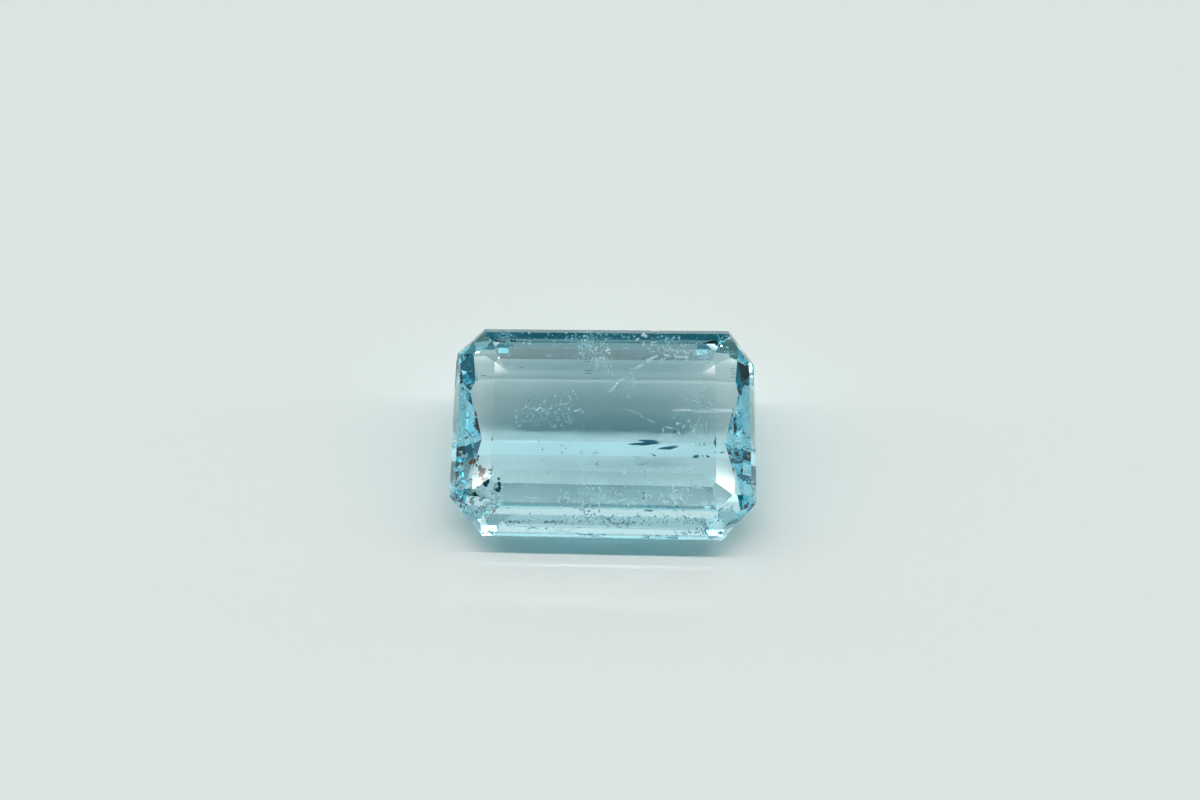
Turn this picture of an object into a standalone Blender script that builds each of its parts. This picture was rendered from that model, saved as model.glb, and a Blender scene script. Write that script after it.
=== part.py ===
"""Cut aquamarine: a cut-cornered rectangular step cut, 22 mm long, lying on its lower facets.

The stone is cut from a block, one flat facet at a time, in its own frame: the table faces +Z, the
girdle plane is z = 0 and the long sides run along X. It is then leaned over onto the broad near
facet of its pavilion, which is how it rests on a flat surface. Lengths in the tables are millimetres
and are turned into metres where the block and the planes are made.
"""
import math

import bmesh
import bpy
from mathutils import Euler, Matrix, Vector

MM = 0.001

STONE_NAME = "aquamarine"
STONE_COLOUR = (0.36, 0.68, 0.78, 1.0)
STONE_IOR = 1.577
POLISH_ROUGHNESS = 0.02

# The girdle outline, seen from above: compass direction of each side's outward normal in degrees,
# and its distance from the stone's middle. The two long sides draw together slightly to the left.
LONG_SIDES = {"far": (90.3, 7.84), "near": (269.6, 7.84)}
END_SIDES = {"left": (180.0, 10.95), "right": (359.8, 10.98)}
CORNERS = {"far_left": (135.0, 11.84), "far_right": (34.1, 12.05), "near_right": (316.6, 11.56),
           "near_left": (221.5, 11.54)}
SIDES = {**LONG_SIDES, **END_SIDES, **CORNERS}
GIRDLE_THICKNESS = 0.20

# The crown's facets on each side, from the girdle up to the table: how far each facet runs in and
# how high it is.
CROWN_FACETS = {
    "far": ((0.54, 0.81), (1.19, 1.09), (1.48, 0.52), (0.93, 0.16)),
    "near": ((0.54, 0.81), (1.19, 1.09), (1.48, 0.52), (0.93, 0.16)),
    "left": ((0.47, 1.10), (1.27, 0.70), (1.33, 0.62), (0.93, 0.16)),
    "right": ((0.47, 1.10), (1.27, 0.70), (1.33, 0.62), (0.93, 0.16)),
    "far_left": ((0.49, 1.00), (1.20, 0.86), (1.50, 0.56), (1.19, 0.16)),
    "far_right": ((0.46, 1.00), (1.16, 0.86), (1.43, 0.56), (1.16, 0.16)),
    "near_right": ((0.42, 1.00), (1.05, 0.86), (1.36, 0.56), (1.15, 0.16)),
    "near_left": ((0.42, 1.00), (1.05, 0.86), (1.36, 0.56), (1.15, 0.16)),
}

# The pavilion's facets on each side, from the girdle down, in the same way. The third ones of the
# long sides meet in the keel, and the corner facets die out above them.
PAVILION_FACETS = {
    "far": ((1.89, 2.16), (1.58, 1.47), (4.35, 1.81)),
    "near": ((1.44, 1.61), (2.15, 2.04), (4.26, 1.79)),
    "left": ((0.80, 1.75), (1.00, 1.75), (1.45, 1.94)),
    "right": ((0.80, 1.75), (1.00, 1.75), (1.50, 1.94)),
    "far_left": ((0.98, 1.75), (1.70, 1.75)),
    "far_right": ((0.86, 1.75), (1.45, 1.75)),
    "near_right": ((0.75, 1.75), (1.03, 1.75)),
    "near_left": ((0.74, 1.75), (1.02, 1.75)),
}

# The stone lies on the lowest facet of this side.
REST_SIDE = "near"

# Small shell-shaped chips: a point on the girdle's rim, in the stone's frame, and the chip's
# radii along the rim, across it and up.
CHIPS = (
    {"at": (-9.90, 6.88, 0.20), "radii": (0.42, 0.20, 0.34), "turn": 45.0},
    {"at": (-10.98, 5.62, 0.16), "radii": (0.20, 0.42, 0.34), "turn": 0.0},
    {"at": (-7.35, 7.90, 0.18), "radii": (0.46, 0.13, 0.22), "turn": 0.0},
    {"at": (-4.10, 7.92, 0.16), "radii": (0.34, 0.11, 0.20), "turn": 0.0},
    {"at": (3.70, 7.88, 0.18), "radii": (0.40, 0.12, 0.22), "turn": 0.0},
    {"at": (-10.30, -5.90, 0.10), "radii": (0.42, 0.18, 0.30), "turn": -48.0},
    {"at": (-8.95, -7.35, -0.05), "radii": (0.34, 0.16, 0.24), "turn": -48.0},
    {"at": (8.75, -7.72, 0.05), "radii": (0.32, 0.16, 0.24), "turn": 44.0},
)

BLOCK_MARGIN = 2.0
CUT_TOLERANCE = 1e-8
MERGE_DISTANCE = 2e-6


def clear_scene():
    """Take away every object the scene starts with."""
    for old in list(bpy.data.objects):
        bpy.data.objects.remove(old, do_unlink=True)


def new_collection(name):
    collection = bpy.data.collections.new(name)
    bpy.context.scene.collection.children.link(collection)
    return collection


def direction(azimuth):
    """Level unit vector for a compass direction in degrees."""
    angle = math.radians(azimuth)
    return Vector((math.cos(angle), math.sin(angle), 0.0))


def facet_planes(facets, way):
    """For each side, a point and the outward normal of every facet, going up (way 1) or down (way -1)."""
    planes = {}
    for side, steps in facets.items():
        azimuth, distance = SIDES[side]
        outward = direction(azimuth)
        level = way * GIRDLE_THICKNESS / 2
        planes[side] = []
        for run, height in steps:
            normal = (outward * height + Vector((0.0, 0.0, way * run))).normalized()
            planes[side].append((outward * distance + Vector((0.0, 0.0, level)), normal))
            distance -= run
            level += way * height
    return planes


def total_height(facets, side):
    return GIRDLE_THICKNESS / 2 + sum(height for _, height in facets[side])


def cut_facet(bm, point, normal):
    """Grind one flat facet: cut along its plane, drop what is outside and close the cut."""
    everything = bm.verts[:] + bm.edges[:] + bm.faces[:]
    result = bmesh.ops.bisect_plane(
        bm, geom=everything, dist=CUT_TOLERANCE, plane_co=point * MM, plane_no=normal, clear_outer=True)
    rim = [item for item in result["geom_cut"] if isinstance(item, bmesh.types.BMEdge)]
    if len(rim) > 2:
        bmesh.ops.holes_fill(bm, edges=rim, sides=0)


def cut_block(crown, pavilion):
    """The whole faceted stone in its own frame, table up."""
    table_z = total_height(CROWN_FACETS, "far")
    keel_z = -total_height(PAVILION_FACETS, "far")
    length = sum(distance for _, distance in END_SIDES.values()) + BLOCK_MARGIN
    width = sum(distance for _, distance in LONG_SIDES.values()) + BLOCK_MARGIN
    height = table_z - keel_z + BLOCK_MARGIN
    bm = bmesh.new()
    bmesh.ops.create_cube(bm, size=1.0)
    bmesh.ops.scale(bm, vec=(length * MM, width * MM, height * MM), verts=bm.verts)
    bmesh.ops.translate(bm, vec=(0.0, 0.0, (table_z + keel_z) / 2 * MM), verts=bm.verts)
    for azimuth, distance in SIDES.values():
        cut_facet(bm, direction(azimuth) * distance, direction(azimuth))
    for steps in (*crown.values(), *pavilion.values()):
        for point, normal in steps:
            cut_facet(bm, point, normal)
    up = Vector((0.0, 0.0, 1.0))
    cut_facet(bm, up * table_z, up)
    bmesh.ops.remove_doubles(bm, verts=bm.verts, dist=MERGE_DISTANCE)
    bmesh.ops.dissolve_degenerate(bm, dist=MERGE_DISTANCE, edges=bm.edges)
    bmesh.ops.recalc_face_normals(bm, faces=bm.faces)
    return bm


def lay_down(bm, rest_normal):
    """Lean the stone over until the facet with rest_normal lies flat on z = 0, its box centred.

    Returns the movement that was made, so that the chips can be placed the same way.
    """
    lean = rest_normal.rotation_difference(Vector((0.0, 0.0, -1.0))).to_matrix().to_4x4()
    bmesh.ops.transform(bm, matrix=lean, verts=bm.verts)
    low = Vector([min(vert.co[axis] for vert in bm.verts) for axis in range(3)])
    high = Vector([max(vert.co[axis] for vert in bm.verts) for axis in range(3)])
    middle = (low + high) / 2
    shift = Matrix.Translation((-middle.x, -middle.y, -low.z))
    bmesh.ops.transform(bm, matrix=shift, verts=bm.verts)
    return shift @ lean


def stone_material():
    material = bpy.data.materials.new(STONE_NAME)
    material.use_nodes = True
    shader = material.node_tree.nodes["Principled BSDF"]
    shader.inputs["Base Color"].default_value = STONE_COLOUR
    shader.inputs["Roughness"].default_value = POLISH_ROUGHNESS
    shader.inputs["Metallic"].default_value = 0.0
    shader.inputs["IOR"].default_value = STONE_IOR
    shader.inputs["Transmission Weight"].default_value = 1.0
    return material


def make_stone(collection):
    crown = facet_planes(CROWN_FACETS, 1)
    pavilion = facet_planes(PAVILION_FACETS, -1)
    bm = cut_block(crown, pavilion)
    _, rest_normal = pavilion[REST_SIDE][-1]
    placement = lay_down(bm, rest_normal)
    mesh = bpy.data.meshes.new(STONE_NAME)
    bm.to_mesh(mesh)
    bm.free()
    mesh.materials.append(stone_material())
    stone = bpy.data.objects.new(STONE_NAME, mesh)
    collection.objects.link(stone)
    return stone, placement


def make_chip(collection, number, chip, placement):
    """One shell-shaped hollow, as a coarse ball that the stone's rim is cut with."""
    bm = bmesh.new()
    bmesh.ops.create_icosphere(bm, subdivisions=2, radius=1.0)
    turn = Euler((0.0, 0.0, math.radians(chip["turn"]))).to_matrix().to_4x4()
    radii = Matrix.Diagonal([*(radius * MM for radius in chip["radii"]), 1.0])
    place = Matrix.Translation(Vector(chip["at"]) * MM)
    bmesh.ops.transform(bm, matrix=placement @ place @ turn @ radii, verts=bm.verts)
    mesh = bpy.data.meshes.new(f"chip_{number}")
    bm.to_mesh(mesh)
    bm.free()
    cutter = bpy.data.objects.new(f"chip_{number}", mesh)
    cutter.hide_render = True
    cutter.display_type = "WIRE"
    collection.objects.link(cutter)
    return cutter


def chip_rim(stone, cutters):
    """Break each small chip out of the stone's rim."""
    for cutter in cutters:
        cut = stone.modifiers.new(cutter.name, "BOOLEAN")
        cut.operation = "DIFFERENCE"
        cut.solver = "EXACT"
        cut.object = cutter


def main():
    clear_scene()
    stone_collection = new_collection("cut_aquamarine")
    cutter_collection = new_collection("cutters")
    stone, placement = make_stone(stone_collection)
    cutters = [make_chip(cutter_collection, number, chip, placement) for number, chip in enumerate(CHIPS, 1)]
    chip_rim(stone, cutters)


main()
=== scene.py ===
"""The looks of a cut aquamarine lying on white paper: clear stone, what grew in it, light and camera."""

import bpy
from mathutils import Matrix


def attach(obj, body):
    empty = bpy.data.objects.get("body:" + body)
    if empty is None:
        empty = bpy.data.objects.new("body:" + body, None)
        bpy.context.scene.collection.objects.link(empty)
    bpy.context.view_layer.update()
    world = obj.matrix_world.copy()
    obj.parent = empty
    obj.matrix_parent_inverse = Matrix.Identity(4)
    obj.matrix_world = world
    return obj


bl_info = {
    "name": "Cut Aquamarine Looks",
    "version": (1, 0, 0),
    "blender": (4, 5, 0),
    "location": "View3D > Sidebar > Aquamarine",
    "description": "Finishes a faceted aquamarine: clear blue stone, inclusions, paper, light and camera",
    "category": "Object",
}

import math
import random

import bmesh
import bpy
from bpy.props import FloatProperty, FloatVectorProperty, IntProperty, PointerProperty
from mathutils import Euler, Matrix, Vector
from mathutils.bvhtree import BVHTree

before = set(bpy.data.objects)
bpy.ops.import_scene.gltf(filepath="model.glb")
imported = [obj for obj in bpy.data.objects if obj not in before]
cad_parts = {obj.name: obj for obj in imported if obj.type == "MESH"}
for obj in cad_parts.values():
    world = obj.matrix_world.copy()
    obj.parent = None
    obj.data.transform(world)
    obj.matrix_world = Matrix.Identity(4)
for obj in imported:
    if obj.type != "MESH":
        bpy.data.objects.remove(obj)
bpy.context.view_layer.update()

MM = 0.001
NODE = "aquamarine"
BODY = "root"

# The photograph's frame and how it looks at the stone. GIRDLE_CENTRE is the middle of the stone's
# girdle plane, in millimetres, and GIRDLE_PIXEL is where the photograph shows it.
PHOTO_WIDTH, PHOTO_HEIGHT = 1200, 800
FOCAL_PIXELS = 1300.0
GIRDLE_CENTRE = Vector((-0.021, 0.010, 5.104))
GIRDLE_PIXEL = (603.7, 431.5)
# How far the stone leans from table up, and towards which compass direction, in degrees.
STONE_LEAN, LEAN_AZIMUTH = 22.79, 269.6
GIRDLE_THICKNESS = 0.20
SENSOR_WIDTH = 36.0

# What grew inside the stone, read off the photograph. A place is a pixel of the 1200 by 800 frame and
# how far along the sight line through the stone it lies, as a share: 0 is the near surface, 1 the far.
# A grain's place is followed by its size in millimetres.
RUST_GRAINS = (
    (457.1, 367.4, 0.06, 0.36), (459.0, 371.5, 0.06, 0.22), (459.6, 375.8, 0.06, 0.25),
    (472.8, 461.4, 0.15, 0.42), (470.5, 462.8, 0.15, 0.28), (462.0, 463.7, 0.12, 0.28),
)
DARK_GRAINS = (
    (480.0, 468.0, 0.15, 0.43), (482.8, 470.2, 0.16, 0.49), (481.0, 474.5, 0.15, 0.38),
    (484.0, 473.0, 0.15, 0.29), (484.0, 480.5, 0.17, 0.49), (487.0, 482.0, 0.17, 0.43),
    (485.5, 484.5, 0.16, 0.32), (478.2, 456.5, 0.14, 0.23), (477.4, 459.5, 0.14, 0.17),
    (489.3, 470.0, 0.17, 0.19), (489.0, 474.0, 0.17, 0.14), (498.8, 479.0, 0.18, 0.17),
    (499.3, 484.5, 0.18, 0.25), (497.7, 490.0, 0.18, 0.38), (499.5, 487.6, 0.18, 0.20),
    (476.5, 465.5, 0.14, 0.19), (461.0, 505.5, 0.15, 0.38), (464.0, 506.5, 0.15, 0.23),
    (542.4, 449.5, 0.60, 0.13), (561.8, 445.3, 0.60, 0.10), (561.8, 452.6, 0.62, 0.10),
    (538.7, 441.6, 0.60, 0.10), (566.0, 448.4, 0.60, 0.09), (597.6, 453.0, 0.55, 0.09),
    (643.7, 493.2, 0.45, 0.14), (643.7, 497.9, 0.45, 0.16), (648.4, 497.4, 0.45, 0.09),
    (721.0, 344.0, 0.35, 0.32), (742.0, 379.0, 0.30, 0.26), (685.5, 517.2, 0.40, 0.13),
)
# Flat films where the stone is broken, with painted shade: their dark colour stands in for fractures that
# block the light behind them and mirror the room's dark part. The pixels of two ends, the depth share and how
# wide the film is, in millimetres.
FILMS_PAINTED_DARK = (
    ((625.3, 444.2), (662.0, 443.4), 0.52, 0.30), ((636.0, 440.6), (659.0, 441.6), 0.53, 0.20),
    ((655.8, 449.3), (680.0, 446.8), 0.55, 0.26), ((651.0, 453.5), (656.5, 456.0), 0.55, 0.14),
    ((692.0, 457.5), (700.0, 455.3), 0.58, 0.22), ((701.5, 455.6), (710.0, 457.0), 0.58, 0.22),
    ((719.5, 453.0), (725.0, 451.5), 0.50, 0.16), ((594.0, 461.5), (599.5, 466.0), 0.55, 0.08),
    ((599.0, 461.0), (594.5, 466.0), 0.55, 0.07), ((583.0, 361.4), (597.5, 361.8), 0.45, 0.10),
    ((584.0, 373.0), (592.5, 373.4), 0.45, 0.10), ((519.5, 367.6), (524.5, 366.8), 0.40, 0.09),
    ((578.6, 347.6), (581.0, 343.6), 0.40, 0.12), ((582.0, 347.8), (584.4, 343.8), 0.40, 0.12),
    ((480.0, 375.0), (487.0, 375.8), 0.35, 0.10), ((489.0, 378.2), (492.6, 377.6), 0.35, 0.08),
    ((672.0, 434.6), (676.0, 430.6), 0.50, 0.14), ((661.0, 431.5), (665.0, 429.5), 0.50, 0.12),
    ((729.5, 368.6), (735.5, 368.2), 0.30, 0.07), ((729.0, 371.4), (735.8, 371.2), 0.30, 0.07),
    ((730.0, 374.0), (736.2, 373.6), 0.30, 0.07), ((728.8, 377.4), (737.0, 377.2), 0.30, 0.08),
    ((631.0, 456.8), (641.0, 457.2), 0.60, 0.05), ((636.0, 465.0), (648.0, 463.5), 0.60, 0.05),
)
# Pale slivers and streaks: the pixels of two ends, the depth share and the width in millimetres.
PALE_SLIVERS = (
    ((665.0, 410.6), (703.0, 410.8), 0.30, 0.12), ((696.0, 411.2), (741.0, 411.8), 0.30, 0.16),
    ((724.0, 410.8), (738.0, 411.6), 0.30, 0.20), ((659.0, 354.6), (645.0, 363.8), 0.35, 0.15),
    ((646.0, 363.0), (632.0, 371.8), 0.36, 0.17), ((633.0, 371.0), (616.0, 383.0), 0.38, 0.12),
    ((618.0, 382.0), (606.0, 392.8), 0.38, 0.15), ((662.0, 353.8), (673.0, 356.8), 0.34, 0.11),
    ((673.0, 356.8), (688.0, 357.6), 0.34, 0.12), ((684.0, 358.4), (688.6, 356.2), 0.34, 0.24),
    ((652.0, 344.6), (657.0, 344.9), 0.30, 0.07), ((649.0, 351.2), (656.0, 351.6), 0.30, 0.06),
    ((642.5, 333.6), (646.8, 338.0), 0.30, 0.26), ((636.0, 340.6), (639.0, 337.6), 0.30, 0.14),
    ((678.6, 336.0), (679.6, 339.0), 0.30, 0.12), ((684.0, 389.1), (686.8, 388.8), 0.35, 0.12),
    ((624.0, 408.8), (641.0, 414.2), 0.45, 0.05), ((640.0, 415.0), (644.0, 419.0), 0.45, 0.05),
    ((646.5, 419.2), (656.5, 422.6), 0.46, 0.08), ((664.0, 426.0), (672.6, 428.6), 0.47, 0.07),
    ((676.0, 421.8), (678.6, 424.4), 0.45, 0.12), ((677.6, 433.0), (681.0, 435.6), 0.45, 0.10),
    ((701.0, 414.0), (691.4, 438.0), 0.40, 0.05), ((708.0, 416.0), (701.0, 446.0), 0.42, 0.03),
    ((686.0, 404.0), (697.0, 400.0), 0.40, 0.06), ((712.0, 407.0), (733.0, 398.0), 0.35, 0.05),
    ((714.0, 403.0), (736.0, 393.6), 0.35, 0.04), ((522.0, 406.4), (537.0, 409.6), 0.50, 0.05),
    ((528.0, 410.0), (538.0, 405.4), 0.50, 0.05), ((550.0, 406.6), (571.0, 402.8), 0.50, 0.05),
    ((573.0, 412.0), (583.0, 408.6), 0.48, 0.10), ((579.0, 414.0), (586.0, 411.0), 0.48, 0.08),
    ((577.0, 407.0), (580.0, 414.4), 0.48, 0.06), ((556.6, 420.8), (560.6, 417.0), 0.50, 0.18),
    ((528.0, 419.6), (534.0, 422.8), 0.50, 0.06), ((524.6, 402.0), (527.4, 409.0), 0.50, 0.05),
    ((599.0, 356.6), (604.0, 364.0), 0.35, 0.08), ((603.0, 360.0), (607.6, 369.6), 0.36, 0.07),
    ((590.0, 349.0), (596.0, 355.6), 0.35, 0.07), ((600.0, 366.0), (592.0, 356.0), 0.35, 0.05),
    ((606.4, 392.0), (610.0, 388.6), 0.38, 0.10), ((527.0, 341.4), (532.0, 343.0), 0.25, 0.09),
    ((460.0, 450.6), (463.0, 455.0), 0.22, 0.14), ((462.0, 454.0), (467.0, 457.2), 0.22, 0.16),
    ((472.6, 467.0), (474.0, 472.0), 0.28, 0.10), ((474.0, 479.0), (476.4, 475.4), 0.28, 0.12),
    ((456.6, 484.0), (461.0, 474.0), 0.20, 0.16), ((482.2, 503.0), (479.6, 511.0), 0.30, 0.10),
    ((487.8, 501.4), (485.2, 509.4), 0.30, 0.12), ((491.0, 498.0), (494.6, 495.0), 0.30, 0.10),
    ((498.0, 494.4), (500.4, 493.0), 0.32, 0.13), ((495.4, 503.6), (498.0, 508.8), 0.32, 0.10),
    ((470.6, 508.6), (468.8, 517.0), 0.25, 0.12), ((465.0, 511.0), (470.0, 519.0), 0.25, 0.07),
    ((565.4, 492.6), (566.8, 494.6), 0.35, 0.12), ((565.0, 499.4), (569.0, 498.4), 0.35, 0.12),
    ((577.6, 504.4), (584.0, 505.0), 0.36, 0.26), ((573.4, 500.4), (576.0, 503.8), 0.36, 0.14),
    ((592.6, 503.8), (596.4, 501.8), 0.36, 0.16), ((583.0, 501.4), (587.0, 507.8), 0.36, 0.10),
    ((622.4, 505.8), (626.0, 502.0), 0.36, 0.07), ((627.0, 506.0), (630.6, 502.6), 0.36, 0.06),
    ((671.0, 492.6), (675.6, 493.4), 0.40, 0.08), ((679.4, 497.2), (681.8, 499.8), 0.40, 0.14),
    ((675.6, 502.2), (679.4, 503.0), 0.40, 0.12), ((682.0, 504.0), (686.0, 505.6), 0.40, 0.18),
    ((668.0, 466.0), (675.0, 465.4), 0.50, 0.07), ((682.0, 472.4), (694.0, 473.6), 0.50, 0.07),
    ((692.0, 485.6), (700.0, 487.4), 0.42, 0.07), ((699.0, 487.2), (707.6, 491.2), 0.42, 0.07),
    ((728.4, 455.0), (730.4, 457.0), 0.30, 0.10), ((733.0, 456.4), (734.4, 458.6), 0.30, 0.09),
)
# Veils of fine specks: the pixels of two opposite corners, the depth shares there and how many.
SPECK_VEILS = (
    ((516.0, 392.0), (592.0, 432.0), (0.30, 0.50), 300), ((592.0, 344.0), (612.0, 372.0), (0.25, 0.33), 130),
    ((640.0, 342.0), (700.0, 362.0), (0.25, 0.35), 200), ((575.0, 336.0), (596.0, 360.0), (0.30, 0.40), 120),
    ((606.0, 362.0), (650.0, 400.0), (0.30, 0.40), 120), ((680.0, 385.0), (720.0, 412.0), (0.30, 0.42), 150),
    ((655.0, 414.0), (720.0, 446.0), (0.40, 0.56), 200), ((540.0, 430.0), (640.0, 462.0), (0.55, 0.64), 50),
    ((486.0, 332.0), (726.0, 341.0), (0.20, 0.40), 150), ((462.0, 466.0), (502.0, 520.0), (0.20, 0.40), 120),
    ((560.0, 488.0), (632.0, 506.0), (0.34, 0.46), 160), ((660.0, 488.0), (690.0, 506.0), (0.36, 0.46), 90),
    ((500.0, 514.0), (720.0, 522.0), (0.08, 0.20), 200), ((726.0, 384.0), (750.0, 452.0), (0.15, 0.50), 70),
    ((455.0, 372.0), (478.0, 450.0), (0.15, 0.50), 50), ((500.0, 450.0), (700.0, 505.0), (0.30, 0.80), 60),
)
# Fine dark specks along the worn near and far edges: opposite corners, the depth shares and how many.
DARK_SPECK_LINES = (
    ((502.0, 519.0), (716.0, 525.0), (0.04, 0.12), 420), ((506.0, 520.6), (520.0, 523.0), (0.05, 0.10), 60),
    ((544.0, 520.4), (563.0, 523.0), (0.05, 0.10), 90), ((612.0, 521.6), (636.0, 524.4), (0.05, 0.10), 100),
    ((696.0, 526.6), (712.0, 532.0), (0.15, 0.25), 60), ((486.0, 333.0), (720.0, 340.0), (0.20, 0.35), 160),
)
# Heaps of broken plates in the near left corner's fracture: pixel of the middle, depth share and size.
FRACTURE_PLATES = (
    (461.0, 492.0, 0.22, 0.50), (467.6, 493.2, 0.24, 0.62), (459.0, 478.0, 0.20, 0.60),
    (466.0, 480.0, 0.26, 0.62), (471.0, 487.0, 0.28, 0.54), (474.0, 499.0, 0.30, 0.60),
    (480.0, 494.0, 0.32, 0.54), (486.0, 506.0, 0.30, 0.50), (478.0, 512.0, 0.28, 0.52),
    (468.0, 506.0, 0.24, 0.50), (492.0, 512.0, 0.30, 0.44), (497.0, 503.0, 0.32, 0.40),
    (472.0, 474.0, 0.28, 0.40), (456.0, 500.0, 0.20, 0.36), (488.0, 519.0, 0.24, 0.40),
    (462.0, 466.0, 0.24, 0.36), (472.0, 511.0, 0.22, 0.36), (484.0, 498.0, 0.32, 0.36),
)
# The ring of small plates at the right: its middle, depth share, width and how many plates.
ROSETTE = ((734.0, 444.5), 0.34, 0.50, 9)

# The light from the room, as soft bands by the angle in degrees from straight up, where minus is towards
# the camera: where each band begins and ends, how bright it is and its colour. The brightest, straight
# up, is a long ceiling light.
SHADE = (0.0, 1.0, 1.3)
COOL = (0.85, 1.0, 1.0)
WARM = (1.1, 1.0, 0.95)
AQUA = (0.45, 1.0, 1.0)
ROOM_BANDS = (
    (-90, -36, 0.12, SHADE), (-20, -12, 0.18, SHADE), (-12, -8, 0.35, COOL), (-2, 1.9, 13.3, WARM),
    (1.9, 9, 0.95, WARM), (9, 14, 0.60, COOL), (14, 19, 0.45, COOL), (19, 38, 1.05, COOL),
    (50, 54, 0.10, SHADE), (54, 59, 0.90, WARM), (59, 68, 1.80, AQUA), (68, 90, 0.10, COOL),
)
# The room's colour ramp holds brightness as a share of ROOM_PEAK. A band rises within BAND_EDGE of its
# width, and falls within the same.
ROOM_PEAK = 15.0
BAND_EDGE = 0.05
LAMP_COLOUR = (1.06, 1.0, 0.96)
# Small soft lamps that light the stone's corners: where each hangs, how wide it is and how bright.
CORNER_LAMPS = (
    ((-0.165, 0.62, 0.50), 0.15, 1.6), ((0.53, 0.168, 0.50), 0.09, 1.8), ((-0.53, 0.193, 0.50), 0.09, 1.8),
)

# How often light may bounce in all, and how often off or through polished facets.
ALL_BOUNCES = 24
FACET_BOUNCES = 20
# What is nearer to the camera or farther from it than this, in metres, isn't drawn.
CAMERA_NEAR, CAMERA_FAR = 0.001, 100.0

# The paper's finish.
PAPER_ROUGHNESS = 0.9
PAPER_SHINE = 0.1
FIBRE_SCALE = 900.0
FIBRE_DETAIL = 4.0
# Painted shade: how bright the paper's colour is in the hollows between its fibres, where the bump is lowest,
# as a share.
PAINTED_HOLLOW_SHADE = 0.985
FIBRE_STRENGTH = 0.05
FIBRE_DEPTH = 0.05 * MM

# The stone's wear is a noise: it begins at one value of the noise and is full at the other.
WEAR_SCALE = 700.0
WEAR_DETAIL = 4.0
WEAR_BEGINS, WEAR_FULL = 0.5, 0.8

# The finish of what grew in the stone. Its tone runs from the darker to the lighter share of its colour,
# and its roughness between two shares of the listed one.
GROWTH_SHINE = 0.1
MOTTLE_DETAIL = 3.0
DARKER, LIGHTER = 0.75, 1.2
MOTTLE_LOW, MOTTLE_HIGH = 0.3, 0.7
SMOOTHER, ROUGHER = 0.7, 1.3

# A bent sight line starts this far below the surface, so that it doesn't meet the same facet again.
SKIN = 0.001 * MM
# Strewn specks stay this far from the surface.
SPECK_MARGIN = 0.12 * MM

# How a grain, a speck or a plate varies, as shares of its size, and how many sides a plate may have.
GRAIN_BUMPS = (0.72, 1.15)
GRAIN_WIDTHS = (0.6, 0.95)
GRAIN_HEIGHTS = (0.5, 0.8)
SPECK_WIDTHS = (0.25, 0.6)
SPECK_FLATNESS = 0.4
PLATE_SIDES = (5, 8)
PLATE_RAGS = (0.65, 1.2)
PLATE_THICKNESS = 0.012 * MM

# The blades of a film painted dark. The first runs from end to end, and the others start and end along it,
# stray and tilt, all as shares of the film's length or width. A film up to NARROW_FILM wide has one blade.
FILM_THICKNESS = 0.03 * MM
FILM_BLADES = 6
NARROW_FILM = 0.12
FIRST_BLADE_WIDTH = 0.65
BLADE_STARTS = (0.0, 0.5)
BLADE_ENDS = (0.6, 1.1)
BLADE_STRAYS = (-0.45, 0.45)
BLADE_TILTS = (-0.3, 0.3)
BLADE_WIDTHS = (0.25, 0.55)

# The splinters of a needle or streak, in the same way.
SPLINTERS = 3
SPLINTER_STARTS = (-0.05, 0.35)
SPLINTER_ENDS = (0.65, 1.05)
SPLINTER_STRAY = 0.2
SPLINTER_WIDTHS = (1.1, 1.9)
SPLINTER_FLATNESS = 0.5

# How specks are strewn: their spread over a veil or across a line, as a share of it, the thickness of a
# veil as a share of the stone's, and the sizes to pick from, as shares of the usual one.
MIDDLE = 0.5
VEIL_SPREAD = 0.27
VEIL_THICKNESS = 0.015
VEIL_SPECK_SIZES = (0.5, 0.6, 0.8, 1.0, 1.6, 2.6)
LINE_SPREAD = 0.25
LINE_SPECK_SIZES = (0.4, 0.6, 0.8, 1.0)

# The plates of a heap: how many, how far they stray and their sizes, as shares of the heap's size. The
# rosette's plates rise and fall twice on the way round.
PLATES_IN_A_HEAP = 4
HEAP_SPREAD = 0.3
HEAP_PLATE_SIZES = (0.25, 0.85)
ROSETTE_RISE = 0.3
ROSETTE_PLATE_SIZE = 0.5


class StageSettings(bpy.types.PropertyGroup):
    """Paper, strip lamp, light from the room, and camera."""

    paper_colour: FloatVectorProperty(
        name="Paper Colour", description="Colour of the sheet under the stone", subtype="COLOR", size=3,
        default=(0.82, 0.86, 0.855), min=0.0, max=1.0)
    paper_size: FloatProperty(
        name="Paper Size", description="Side of the square sheet", default=6.0, min=0.1, unit="LENGTH")
    paper_gap: FloatProperty(
        name="Paper Gap", description="How far the paper lies below the stone's lowest facet",
        default=0.02 * MM, min=0.0, precision=6, unit="LENGTH")
    lamp_height: FloatProperty(
        name="Lamp Height", description="Height of the strip lamp", default=0.60, min=0.1, unit="LENGTH")
    lamp_length: FloatProperty(
        name="Lamp Length", description="Length of the strip lamp", default=0.46, min=0.01, unit="LENGTH")
    lamp_width: FloatProperty(
        name="Lamp Width", description="Width of the strip lamp", default=0.036, min=0.001, unit="LENGTH")
    lamp_brightness: FloatProperty(
        name="Lamp Brightness", description="Brightness of the strip lamp's face", default=6.0, min=0.0)
    lamp_behind: FloatProperty(
        name="Lamp Behind", description="How far behind the stone the lamp hangs", default=-0.002,
        unit="LENGTH")
    room_brightness: FloatProperty(
        name="Room Brightness", description="How bright the light from the room is, as a share",
        default=1.0, min=0.0)
    camera_elevation: FloatProperty(
        name="Camera Elevation", description="How steeply the camera looks down",
        default=math.radians(49.2), subtype="ANGLE")
    camera_roll: FloatProperty(
        name="Camera Roll", description="How far the camera is turned about its own axis",
        default=math.radians(0.85), subtype="ANGLE")
    camera_distance: FloatProperty(
        name="Camera Distance", description="Distance from the stone, along the camera's axis",
        default=94.4 * MM, min=0.01, unit="LENGTH")


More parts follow.
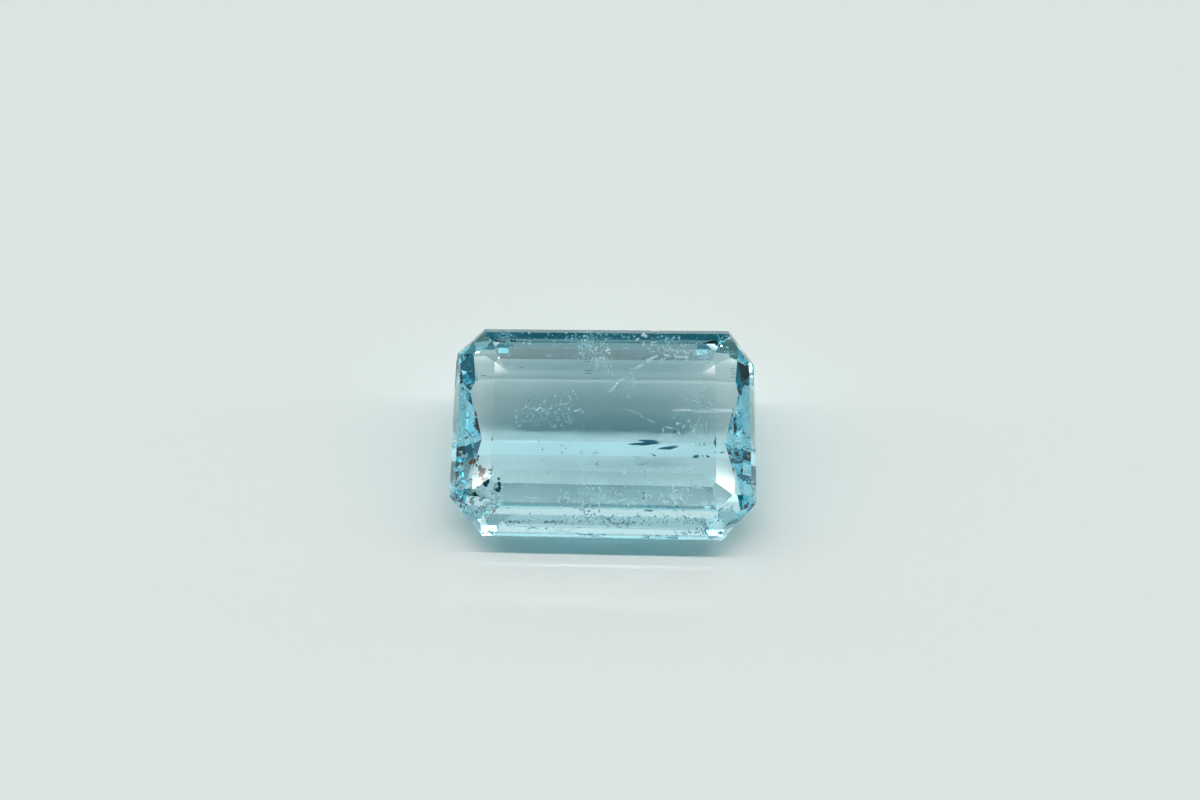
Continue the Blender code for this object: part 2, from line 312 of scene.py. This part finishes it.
class StoneSettings(bpy.types.PropertyGroup):
    """Body colour, index of refraction and polish of the stone."""

    tint: FloatVectorProperty(
        name="Tint", description="Colour that the stone lets through", subtype="COLOR", size=3,
        default=(0.10, 0.775, 0.90), min=0.0, max=1.0)
    tint_density: FloatProperty(
        name="Tint Density", description="How strongly a metre of the stone takes the other colours away",
        default=40.0, min=0.0)
    ior: FloatProperty(
        name="IOR", description="Index of refraction of beryl", default=1.577, min=1.0, max=3.0)
    polish_wear: FloatProperty(
        name="Polish Wear", description="Roughness of the polished facets where they are most worn",
        default=0.012, min=0.0, max=1.0)
    girdle_roughness: FloatProperty(
        name="Girdle Roughness", description="Roughness of the ground girdle", default=0.35, min=0.0, max=1.0)


class GrowthSettings(bpy.types.PropertyGroup):
    """Colours and sizes of what grew inside the stone."""

    rust_colour: FloatVectorProperty(
        name="Rust Colour", description="Colour of the iron-stained grains", subtype="COLOR", size=3,
        default=(0.20, 0.055, 0.020), min=0.0, max=1.0)
    grain_colour: FloatVectorProperty(
        name="Dark Grain Colour", description="Colour of the dark mineral grains", subtype="COLOR", size=3,
        default=(0.004, 0.045, 0.075), min=0.0, max=1.0)
    grain_growth: FloatProperty(
        name="Grain Growth", description="How much larger the grains are than their listed sizes",
        default=1.25, min=0.1)
    # Painted shade: the films' colour stands in for the darkness of fractures that mirror the room's dark
    # part.
    film_painted_dark_colour: FloatVectorProperty(
        name="Painted Film Shade", description="Painted shade of the thin films", subtype="COLOR", size=3,
        default=(0.045, 0.180, 0.250), min=0.0, max=1.0)
    pale_colour: FloatVectorProperty(
        name="Pale Colour", description="Colour of needles, veils and broken plates", subtype="COLOR", size=3,
        default=(0.95, 1.0, 1.0), min=0.0, max=1.0)
    fracture_colour: FloatVectorProperty(
        name="Fracture Colour", description="Darker tone of the broken plates", subtype="COLOR", size=3,
        default=(0.06, 0.30, 0.30), min=0.0, max=1.0)
    speck_size: FloatProperty(
        name="Speck Size", description="Length of a usual speck in a veil",
        default=0.14 * MM, min=0.0, precision=6, unit="LENGTH")
    seed: IntProperty(name="Seed", description="Which scatter of fine specks is drawn", default=7, min=0)


def new_material(name):
    """A material with an empty node tree and its output node."""
    material = bpy.data.materials.new(name)
    material.use_nodes = True
    nodes = material.node_tree.nodes
    nodes.clear()
    output = nodes.new("ShaderNodeOutputMaterial")
    return material, nodes, material.node_tree.links, output


def add_to(bm, part):
    """Move what part holds into bm. Small parts are quicker to build than one large one."""
    carrier = bpy.data.meshes.new("carrier")
    part.to_mesh(carrier)
    part.free()
    bm.from_mesh(carrier)
    bpy.data.meshes.remove(carrier)


def piece_object(name, bm, material):
    """Make an object of bm, at the origin, that rides on the stone's body."""
    mesh = bpy.data.meshes.new(name)
    bm.to_mesh(mesh)
    bm.free()
    mesh.materials.append(material)
    piece = bpy.data.objects.new(name, mesh)
    bpy.context.scene.collection.objects.link(piece)
    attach(piece, BODY)


def paper_material(settings):
    """White paper with a faint tooth, and painted shade in the hollows between its fibres."""
    material, nodes, links, output = new_material("white_paper")
    shader = nodes.new("ShaderNodeBsdfPrincipled")
    shader.inputs["Roughness"].default_value = PAPER_ROUGHNESS
    shader.inputs["Specular IOR Level"].default_value = PAPER_SHINE
    place = nodes.new("ShaderNodeTexCoord")
    fibres = nodes.new("ShaderNodeTexNoise")
    fibres.inputs["Scale"].default_value = FIBRE_SCALE
    fibres.inputs["Detail"].default_value = FIBRE_DETAIL
    # Painted shade: the noise that lowers the bump also darkens the colour, so the hollows are painted
    # darker.
    tone = nodes.new("ShaderNodeMix")
    tone.data_type = "RGBA"
    tone.inputs["A"].default_value = (*[channel * PAINTED_HOLLOW_SHADE for channel in settings.paper_colour], 1.0)
    tone.inputs["B"].default_value = (*settings.paper_colour, 1.0)
    bump = nodes.new("ShaderNodeBump")
    bump.inputs["Strength"].default_value = FIBRE_STRENGTH
    bump.inputs["Distance"].default_value = FIBRE_DEPTH
    links.new(place.outputs["Object"], fibres.inputs["Vector"])
    links.new(fibres.outputs["Fac"], tone.inputs["Factor"])
    links.new(fibres.outputs["Fac"], bump.inputs["Height"])
    links.new(tone.outputs["Result"], shader.inputs["Base Color"])
    links.new(bump.outputs["Normal"], shader.inputs["Normal"])
    links.new(shader.outputs["BSDF"], output.inputs["Surface"])
    return material


def make_paper(settings):
    """The sheet under the stone, a little below its lowest facet."""
    bm = bmesh.new()
    bmesh.ops.create_grid(bm, x_segments=1, y_segments=1, size=settings.paper_size / 2)
    bmesh.ops.translate(bm, vec=(0.0, 0.0, -settings.paper_gap), verts=bm.verts)
    mesh = bpy.data.meshes.new("paper")
    bm.to_mesh(mesh)
    bm.free()
    mesh.materials.append(paper_material(settings))
    paper = bpy.data.objects.new("paper", mesh)
    bpy.context.scene.collection.objects.link(paper)


def make_lamp(settings):
    """One long narrow strip lamp overhead, parallel to the stone's long side.

    A lamp's power is the brightness of its face, times pi, times its area.
    """
    lamp = bpy.data.lights.new("strip_lamp", "AREA")
    lamp.shape = "RECTANGLE"
    lamp.size = settings.lamp_length
    lamp.size_y = settings.lamp_width
    lamp.energy = settings.lamp_brightness * math.pi * lamp.size * lamp.size_y
    lamp.color = LAMP_COLOUR
    holder = bpy.data.objects.new("strip_lamp", lamp)
    holder.location = (0.0, settings.lamp_behind, settings.lamp_height)
    bpy.context.scene.collection.objects.link(holder)


def make_corner_lamps():
    """Round lamps that face the stone."""
    for number, (place, width, brightness) in enumerate(CORNER_LAMPS, 1):
        lamp = bpy.data.lights.new(f"corner_lamp_{number}", "AREA")
        lamp.shape = "DISK"
        lamp.size = width
        lamp.energy = brightness * math.pi * math.pi * (width / 2) ** 2
        holder = bpy.data.objects.new(lamp.name, lamp)
        holder.location = place
        holder.rotation_euler = Vector(place).to_track_quat("Z", "Y").to_euler()
        bpy.context.scene.collection.objects.link(holder)


def camera_axes(settings):
    """Right, up and backward directions of a level camera at the photograph's angle."""
    elevation = settings.camera_elevation
    right = Vector((1.0, 0.0, 0.0))
    up = Vector((0.0, math.sin(elevation), math.cos(elevation)))
    back = Vector((0.0, -math.cos(elevation), math.sin(elevation)))
    return right, up, back


def map_range(nodes, links, value, low, high, to_low, to_high):
    node = nodes.new("ShaderNodeMapRange")
    node.inputs["From Min"].default_value = low
    node.inputs["From Max"].default_value = high
    node.inputs["To Min"].default_value = to_low
    node.inputs["To Max"].default_value = to_high
    links.new(value, node.inputs["Value"])
    return node.outputs["Result"]


def maths(nodes, links, operation, first, second):
    node = nodes.new("ShaderNodeMath")
    node.operation = operation
    for socket, value in zip(node.inputs, (first, second)):
        if isinstance(value, (int, float)):
            socket.default_value = value
        else:
            links.new(value, socket)
    return node.outputs["Value"]


def room_stops():
    """Angle and colour of each stop of the room's light. Every band rises and falls within its own edges."""
    stops = []
    previous_end = ROOM_BANDS[0][0]
    for start, end, brightness, tint in ROOM_BANDS:
        if start > previous_end:
            stops += [(previous_end, (0.0, 0.0, 0.0)), (start, (0.0, 0.0, 0.0))]
        colour = [brightness * channel for channel in tint]
        edge = (end - start) * BAND_EDGE
        stops += [(start + edge, colour), (end - edge, colour)]
        previous_end = end
    return stops


def make_room(settings):
    """The room round the stone, as brightness by the angle from straight up towards the far side.

    It is dark on the camera's side, where the observer stands, and has soft lights low on the far side.
    """
    world = bpy.data.worlds.new("soft_room")
    bpy.context.scene.world = world
    world.use_nodes = True
    nodes, links = world.node_tree.nodes, world.node_tree.links
    nodes.clear()
    output = nodes.new("ShaderNodeOutputWorld")
    glow = nodes.new("ShaderNodeBackground")
    place = nodes.new("ShaderNodeTexCoord")
    parts = nodes.new("ShaderNodeSeparateXYZ")
    links.new(place.outputs["Generated"], parts.inputs["Vector"])
    angle = maths(nodes, links, "ARCTAN2", parts.outputs["Y"], parts.outputs["Z"])
    along = map_range(nodes, links, angle, -math.pi / 2, math.pi / 2, 0.0, 1.0)
    ramp = nodes.new("ShaderNodeValToRGB")
    stops = ramp.color_ramp.elements
    new_ramp_stops = len(stops)
    for index, (degrees, colour) in enumerate(room_stops()):
        stop = stops[index] if index < new_ramp_stops else stops.new(1.0)
        stop.position = (degrees + 90.0) / 180.0
        stop.color = (*[channel / ROOM_PEAK for channel in colour], 1.0)
    links.new(along, ramp.inputs["Fac"])
    links.new(ramp.outputs["Color"], glow.inputs["Color"])
    glow.inputs["Strength"].default_value = ROOM_PEAK * settings.room_brightness
    links.new(glow.outputs["Background"], output.inputs["Surface"])


def turned_axes(settings):
    """The camera's own right, up and backward directions, with its roll."""
    right, up, back = camera_axes(settings)
    roll = settings.camera_roll
    side = right * math.cos(roll) + up * math.sin(roll)
    top = up * math.cos(roll) - right * math.sin(roll)
    return side, top, back


def camera_place(settings):
    """Where the camera stands for the girdle's middle to fall on its pixel of the photograph."""
    side, top, back = turned_axes(settings)
    across = (GIRDLE_PIXEL[0] - PHOTO_WIDTH / 2) / FOCAL_PIXELS
    rise = (PHOTO_HEIGHT / 2 - GIRDLE_PIXEL[1]) / FOCAL_PIXELS
    offset = back - side * across - top * rise
    return GIRDLE_CENTRE * MM + offset * settings.camera_distance


def make_camera(settings):
    """Stand the camera as the photographer's stood."""
    data = bpy.data.cameras.new("photo_camera")
    data.sensor_width = SENSOR_WIDTH
    data.lens = SENSOR_WIDTH * FOCAL_PIXELS / PHOTO_WIDTH
    data.clip_start = CAMERA_NEAR
    data.clip_end = CAMERA_FAR
    camera = bpy.data.objects.new("photo_camera", data)
    turn = Matrix(turned_axes(settings)).transposed().to_4x4()
    camera.matrix_world = Matrix.Translation(camera_place(settings)) @ turn
    bpy.context.scene.collection.objects.link(camera)
    bpy.context.scene.camera = camera


def girdle_mask(nodes, links, place):
    """1 on the ground girdle and 0 on the polished facets, by the distance from the girdle's middle plane."""
    lean, azimuth = math.radians(STONE_LEAN), math.radians(LEAN_AZIMUTH)
    up = Vector((math.cos(azimuth) * math.sin(lean), math.sin(azimuth) * math.sin(lean), math.cos(lean)))
    height = nodes.new("ShaderNodeVectorMath")
    height.operation = "DOT_PRODUCT"
    height.inputs[1].default_value = up
    links.new(place, height.inputs[0])
    above = maths(nodes, links, "SUBTRACT", height.outputs["Value"], up.dot(GIRDLE_CENTRE) * MM)
    away = maths(nodes, links, "ABSOLUTE", above, 0.0)
    return maths(nodes, links, "LESS_THAN", away, GIRDLE_THICKNESS / 2 * MM)


def clear_stone_material(settings):
    """Polished beryl: clear, with its colour taken up on the way through, and a ground girdle."""
    material, nodes, links, output = new_material("clear_aquamarine")
    shader = nodes.new("ShaderNodeBsdfPrincipled")
    shader.inputs["Base Color"].default_value = (1.0, 1.0, 1.0, 1.0)
    place = nodes.new("ShaderNodeTexCoord")
    wear = nodes.new("ShaderNodeTexNoise")
    wear.inputs["Scale"].default_value = WEAR_SCALE
    wear.inputs["Detail"].default_value = WEAR_DETAIL
    links.new(place.outputs["Object"], wear.inputs["Vector"])
    polish = map_range(
        nodes, links, wear.outputs["Fac"], WEAR_BEGINS, WEAR_FULL, 0.0, settings.polish_wear)
    ground = girdle_mask(nodes, links, place.outputs["Object"])
    matt = maths(nodes, links, "MULTIPLY", ground, settings.girdle_roughness)
    links.new(maths(nodes, links, "MAXIMUM", polish, matt), shader.inputs["Roughness"])
    shader.inputs["IOR"].default_value = settings.ior
    shader.inputs["Transmission Weight"].default_value = 1.0
    tint = nodes.new("ShaderNodeVolumeAbsorption")
    tint.inputs["Color"].default_value = (*settings.tint, 1.0)
    tint.inputs["Density"].default_value = settings.tint_density
    links.new(shader.outputs["BSDF"], output.inputs["Surface"])
    links.new(tint.outputs["Volume"], output.inputs["Volume"])
    return material


def grown_material(name, colour, roughness, scale, metallic=0.0, second=None):
    """A grown thing's finish: its colour, mottled with a second one or with its own darker tone."""
    material, nodes, links, output = new_material(name)
    shader = nodes.new("ShaderNodeBsdfPrincipled")
    shader.inputs["Metallic"].default_value = metallic
    shader.inputs["Specular IOR Level"].default_value = GROWTH_SHINE
    place = nodes.new("ShaderNodeTexCoord")
    mottle = nodes.new("ShaderNodeTexNoise")
    mottle.inputs["Scale"].default_value = scale
    mottle.inputs["Detail"].default_value = MOTTLE_DETAIL
    tone = nodes.new("ShaderNodeMix")
    tone.data_type = "RGBA"
    tone.inputs["A"].default_value = (*(second or [channel * DARKER for channel in colour]), 1.0)
    tone.inputs["B"].default_value = (*[min(1.0, channel * LIGHTER) for channel in colour], 1.0)
    links.new(place.outputs["Object"], mottle.inputs["Vector"])
    links.new(mottle.outputs["Fac"], tone.inputs["Factor"])
    links.new(tone.outputs["Result"], shader.inputs["Base Color"])
    rough = map_range(
        nodes, links, mottle.outputs["Fac"], MOTTLE_LOW, MOTTLE_HIGH, roughness * SMOOTHER,
        roughness * ROUGHER)
    links.new(rough, shader.inputs["Roughness"])
    links.new(shader.outputs["BSDF"], output.inputs["Surface"])
    return material


class SightLines:
    """Finds the place in the stone that the camera shows at a pixel of the photograph."""

    def __init__(self, stage, stone):
        side, top, back = turned_axes(stage)
        self.axes = side, top, back
        self.eye = camera_place(stage)
        self.ior = stone.ior
        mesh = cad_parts[NODE].data
        corners = [vertex.co for vertex in mesh.vertices]
        self.surface = BVHTree.FromPolygons(corners, [face.vertices[:] for face in mesh.polygons])

    def sight(self, pixel):
        """Where the sight line of a pixel enters the stone and where, bent, it first meets the far side."""
        side, top, back = self.axes
        across = (pixel[0] - PHOTO_WIDTH / 2) / FOCAL_PIXELS
        rise = (PHOTO_HEIGHT / 2 - pixel[1]) / FOCAL_PIXELS
        look = (side * across + top * rise - back).normalized()
        entry, normal, _, _ = self.surface.ray_cast(self.eye, look)
        if entry is None:
            return None
        facing = -look.dot(normal)
        bent = math.sqrt(1.0 - (1.0 - facing * facing) / self.ior ** 2)
        inward = look / self.ior + normal * (facing / self.ior - bent)
        return entry, self.surface.ray_cast(entry + inward * SKIN, inward)[0]

    def place(self, pixel, share):
        """A point inside the stone on the sight line of a pixel, at a share of the way through."""
        ends = self.sight(pixel)
        if ends is None:
            raise RuntimeError(f"no stone at pixel {tuple(pixel)}")
        return ends[0].lerp(ends[1], share)

    def strewn(self, first, second, across, down, share):
        """A point for a speck between two corner pixels, or None where it wouldn't lie in the stone."""
        pixel = (first[0] + (second[0] - first[0]) * across, first[1] + (second[1] - first[1]) * down)
        ends = self.sight(pixel)
        if ends is None:
            return None
        length = (ends[1] - ends[0]).length
        if length < 2 * SPECK_MARGIN:
            return None
        return ends[0].lerp(ends[1], min(1 - SPECK_MARGIN / length, max(SPECK_MARGIN / length, share)))


def sliver(bm, start, end, width, thickness, roll):
    """A closed double-pointed splinter between two points."""
    verts = bmesh.ops.create_icosphere(bm, subdivisions=1, radius=0.5)["verts"]
    axis = end - start
    turn = axis.to_track_quat("X", "Z").to_matrix().to_4x4() @ Matrix.Rotation(roll, 4, "X")
    size = Matrix.Diagonal((axis.length, width, thickness, 1.0))
    bmesh.ops.transform(bm, matrix=Matrix.Translation((start + end) / 2) @ turn @ size, verts=verts)


def grain(bm, middle, size, rng):
    """A small angular grain with uneven sides."""
    verts = bmesh.ops.create_icosphere(bm, subdivisions=2, radius=0.5)["verts"]
    for vert in verts:
        vert.co *= rng.uniform(*GRAIN_BUMPS)
    turn = Euler([rng.uniform(0.0, math.tau) for _ in range(3)]).to_matrix().to_4x4()
    width, height = size * rng.uniform(*GRAIN_WIDTHS), size * rng.uniform(*GRAIN_HEIGHTS)
    scale = Matrix.Diagonal((size, width, height, 1.0))
    bmesh.ops.transform(bm, matrix=Matrix.Translation(middle) @ turn @ scale, verts=verts)


def speck(bm, middle, size, rng):
    """One fine fleck: a tiny splinter turned any way."""
    heading = Vector([rng.gauss(0.0, 1.0) for _ in range(3)]).normalized() * size / 2
    width = size * rng.uniform(*SPECK_WIDTHS)
    roll = rng.uniform(0.0, math.tau)
    sliver(bm, middle - heading, middle + heading, width, width * SPECK_FLATNESS, roll)


def plate(bm, middle, size, rng):
    """A thin broken plate with a ragged outline."""
    sides = rng.randint(*PLATE_SIDES)
    verts = bmesh.ops.create_circle(bm, cap_ends=True, segments=sides, radius=size / 2)["verts"]
    for vert in verts:
        vert.co *= rng.uniform(*PLATE_RAGS)
    face = verts[0].link_faces[0]
    raised = bmesh.ops.extrude_face_region(bm, geom=[face])["geom"]
    top = [item for item in raised if isinstance(item, bmesh.types.BMVert)]
    bmesh.ops.translate(bm, vec=(0.0, 0.0, PLATE_THICKNESS), verts=top)
    verts = verts + top
    faces = list({item for vert in verts for item in vert.link_faces})
    bmesh.ops.recalc_face_normals(bm, faces=faces)
    turn = Euler([rng.uniform(0.0, math.tau) for _ in range(3)]).to_matrix().to_4x4()
    bmesh.ops.transform(bm, matrix=Matrix.Translation(middle) @ turn, verts=verts)


def make_grains(name, table, growth, material, lines, seed):
    """The grains of one table, each growth times its listed size."""
    rng = random.Random(seed)
    bm = bmesh.new()
    for x, y, share, size in table:
        grain(bm, lines.place((x, y), share), size * growth * MM, rng)
    piece_object(name, bm, material)


def make_films(material, lines, seed):
    """Flat feathery films, lying nearly level, with painted shade in their dark colour: each is a few
    lens-shaped blades side by side.
    """
    rng = random.Random(seed)
    bm = bmesh.new()
    for first, second, share, width in FILMS_PAINTED_DARK:
        part = bmesh.new()
        start, end = lines.place(first, share), lines.place(second, share)
        blades = FILM_BLADES if width > NARROW_FILM else 1
        for blade in range(blades):
            near, far, stray, tilt, wide = 0.0, 1.0, 0.0, 0.0, FIRST_BLADE_WIDTH
            if blade:
                near, far = rng.uniform(*BLADE_STARTS), rng.uniform(*BLADE_ENDS)
                stray, tilt = rng.uniform(*BLADE_STRAYS), rng.uniform(*BLADE_TILTS)
                wide = rng.uniform(*BLADE_WIDTHS)
            aside = Vector((0.0, stray * width, 0.0)) * MM
            turned = Vector((0.0, tilt * width, 0.0)) * MM
            sliver(part, start.lerp(end, near) + aside, start.lerp(end, far) + aside + turned,
                   width * MM * wide, FILM_THICKNESS, 0.0)
        add_to(bm, part)
    piece_object("films_painted_dark", bm, material)


def make_slivers(material, lines, seed):
    """Needles and streaks, each a few overlapping splinters so that it isn't ruler-straight."""
    rng = random.Random(seed)
    bm = bmesh.new()
    for first, second, share, width in PALE_SLIVERS:
        part = bmesh.new()
        start, end = lines.place(first, share), lines.place(second, share)
        for _ in range(SPLINTERS):
            near, far = rng.uniform(*SPLINTER_STARTS), rng.uniform(*SPLINTER_ENDS)
            stray = Vector([rng.gauss(0.0, width * SPLINTER_STRAY) for _ in range(3)]) * MM
            wide = width * MM * rng.uniform(*SPLINTER_WIDTHS)
            sliver(part, start.lerp(end, near) + stray, start.lerp(end, far) + stray, wide,
                   wide * SPLINTER_FLATNESS, rng.uniform(0.0, math.tau))
        add_to(bm, part)
    piece_object("needles_and_streaks", bm, material)


def make_veils(material, lines, size, seed):
    """Fine specks strewn over healed cracks, denser towards the middle of each."""
    rng = random.Random(seed)
    bm = bmesh.new()
    for first, second, (near, far), count in SPECK_VEILS:
        part = bmesh.new()
        for _ in range(count):
            across = min(1.0, max(0.0, rng.gauss(MIDDLE, VEIL_SPREAD)))
            down = min(1.0, max(0.0, rng.gauss(MIDDLE, VEIL_SPREAD)))
            share = near + (far - near) * (across + down) / 2 + rng.gauss(0.0, VEIL_THICKNESS)
            middle = lines.strewn(first, second, across, down, share)
            if middle:
                speck(part, middle, size * rng.choice(VEIL_SPECK_SIZES), rng)
        add_to(bm, part)
    piece_object("veils", bm, material)


def make_speck_lines(material, lines, size, seed):
    """Fine dark specks along the worn edges."""
    rng = random.Random(seed)
    bm = bmesh.new()
    for first, second, (near, far), count in DARK_SPECK_LINES:
        part = bmesh.new()
        for _ in range(count):
            across, down = rng.random(), min(1.0, max(0.0, rng.gauss(MIDDLE, LINE_SPREAD)))
            middle = lines.strewn(first, second, across, down, rng.uniform(near, far))
            if middle:
                speck(part, middle, size * rng.choice(LINE_SPECK_SIZES), rng)
        add_to(bm, part)
    piece_object("worn_edge_specks", bm, material)


def make_plates(material, lines, seed):
    """The fracture's broken plates and the rosette of small ones."""
    rng = random.Random(seed)
    bm = bmesh.new()
    for x, y, share, size in FRACTURE_PLATES:
        for _ in range(PLATES_IN_A_HEAP):
            stray = Vector([rng.gauss(0.0, size * HEAP_SPREAD) for _ in range(3)]) * MM
            wide = size * MM * rng.uniform(*HEAP_PLATE_SIZES)
            plate(bm, lines.place((x, y), share) + stray, wide, rng)
    (x, y), share, size, count = ROSETTE
    heart = lines.place((x, y), share)
    for index in range(count):
        angle = math.tau * index / count
        rise = ROSETTE_RISE * math.sin(2 * angle)
        offset = Vector((math.cos(angle), math.sin(angle), rise)) * size * MM / 2
        plate(bm, heart + offset, size * MM * ROSETTE_PLATE_SIZE, rng)
    piece_object("fracture_plates", bm, material)


def settings_of(context):
    """The settings of the stage, of the stone and of what grew in it."""
    scene = context.scene
    return scene.aquamarine_stage, scene.aquamarine_stone, scene.aquamarine_growth


class AQUAMARINE_OT_stage(bpy.types.Operator):
    """Lay the paper, hang the lamps, light the room and stand the camera"""

    bl_idname = "aquamarine.stage"
    bl_label = "Stage"
    bl_options = {"REGISTER", "UNDO"}

    def execute(self, context):
        stage, _, _ = settings_of(context)
        make_paper(stage)
        make_lamp(stage)
        make_corner_lamps()
        make_room(stage)
        make_camera(stage)
        context.scene.view_settings.view_transform = "Standard"
        context.scene.cycles.max_bounces = ALL_BOUNCES
        context.scene.cycles.glossy_bounces = FACET_BOUNCES
        context.scene.cycles.transmission_bounces = FACET_BOUNCES
        context.scene.cycles.blur_glossy = 0.0
        context.scene.cycles.sample_clamp_indirect = 0.0
        return {"FINISHED"}


class AQUAMARINE_OT_stone(bpy.types.Operator):
    """Give the cut stone its clear blue material"""

    bl_idname = "aquamarine.stone"
    bl_label = "Stone"
    bl_options = {"REGISTER", "UNDO"}

    def execute(self, context):
        _, stone, _ = settings_of(context)
        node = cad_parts[NODE]
        material = clear_stone_material(stone)
        node.data.materials.clear()
        node.data.materials.append(material)
        return {"FINISHED"}


class AQUAMARINE_OT_grains(bpy.types.Operator):
    """Grow the rust-brown and dark mineral grains, and the fine dark specks along the edges"""

    bl_idname = "aquamarine.grains"
    bl_label = "Mineral Grains"
    bl_options = {"REGISTER", "UNDO"}

    def execute(self, context):
        stage, stone, growth = settings_of(context)
        lines = SightLines(stage, stone)
        rust = grown_material("rust_grain", growth.rust_colour, roughness=0.6, scale=6000.0)
        dark = grown_material("dark_grain", growth.grain_colour, roughness=0.4, scale=5000.0)
        make_grains("rust_grains", RUST_GRAINS, growth.grain_growth, rust, lines, growth.seed)
        make_grains("dark_grains", DARK_GRAINS, growth.grain_growth, dark, lines, growth.seed + 1)
        make_speck_lines(dark, lines, growth.speck_size, growth.seed + 2)
        return {"FINISHED"}


class AQUAMARINE_OT_films(bpy.types.Operator):
    """Grow the thin films, painted dark as painted shade of the fractures"""

    bl_idname = "aquamarine.films"
    bl_label = "Films Painted Dark"
    bl_options = {"REGISTER", "UNDO"}

    def execute(self, context):
        stage, stone, growth = settings_of(context)
        # The films' dark colour is painted shade and reflection, not a colour of their own.
        film = grown_material("film_painted_dark", growth.film_painted_dark_colour, roughness=0.3, scale=3000.0)
        make_films(film, SightLines(stage, stone), growth.seed + 6)
        return {"FINISHED"}


class AQUAMARINE_OT_needles(bpy.types.Operator):
    """Grow the pale needles and streaks, and the veils of fine specks"""

    bl_idname = "aquamarine.needles"
    bl_label = "Needles and Veils"
    bl_options = {"REGISTER", "UNDO"}

    def execute(self, context):
        stage, stone, growth = settings_of(context)
        lines = SightLines(stage, stone)
        pale = grown_material("pale_needle", growth.pale_colour, roughness=0.5, scale=4000.0)
        veil = grown_material("pale_veil", growth.pale_colour, roughness=0.5, scale=8000.0)
        make_slivers(pale, lines, growth.seed + 3)
        make_veils(veil, lines, growth.speck_size, growth.seed + 4)
        return {"FINISHED"}


class AQUAMARINE_OT_fracture(bpy.types.Operator):
    """Break the plates of the corner fracture and of the small rosette"""

    bl_idname = "aquamarine.fracture"
    bl_label = "Fracture Plates"
    bl_options = {"REGISTER", "UNDO"}

    def execute(self, context):
        stage, stone, growth = settings_of(context)
        pale = grown_material("fracture_film", growth.pale_colour, roughness=0.25, scale=2500.0,
                              metallic=0.4, second=growth.fracture_colour)
        make_plates(pale, SightLines(stage, stone), growth.seed + 5)
        return {"FINISHED"}


class AQUAMARINE_PT_panel(bpy.types.Panel):
    """Makes the stone's looks, one button for each part of them"""

    bl_label = "Aquamarine"
    bl_idname = "AQUAMARINE_PT_panel"
    bl_space_type = "VIEW_3D"
    bl_region_type = "UI"
    bl_category = "Aquamarine"

    def draw(self, context):
        for operator in OPERATORS:
            self.layout.operator(operator.bl_idname)
        for settings in settings_of(context):
            box = self.layout.box()
            for name in settings.__annotations__:
                box.prop(settings, name)


OPERATORS = (
    AQUAMARINE_OT_stage, AQUAMARINE_OT_stone, AQUAMARINE_OT_grains, AQUAMARINE_OT_films,
    AQUAMARINE_OT_needles, AQUAMARINE_OT_fracture)
CLASSES = (StageSettings, StoneSettings, GrowthSettings, *OPERATORS, AQUAMARINE_PT_panel)


def register():
    for cls in CLASSES:
        bpy.utils.register_class(cls)
    bpy.types.Scene.aquamarine_stage = PointerProperty(type=StageSettings)
    bpy.types.Scene.aquamarine_stone = PointerProperty(type=StoneSettings)
    bpy.types.Scene.aquamarine_growth = PointerProperty(type=GrowthSettings)


def unregister():
    del bpy.types.Scene.aquamarine_growth
    del bpy.types.Scene.aquamarine_stone
    del bpy.types.Scene.aquamarine_stage
    for cls in reversed(CLASSES):
        bpy.utils.unregister_class(cls)


def main():
    register()
    bpy.ops.aquamarine.stage()
    bpy.ops.aquamarine.stone()
    bpy.ops.aquamarine.grains()
    bpy.ops.aquamarine.films()
    bpy.ops.aquamarine.needles()
    bpy.ops.aquamarine.fracture()


if __name__ == "__main__":
    main()
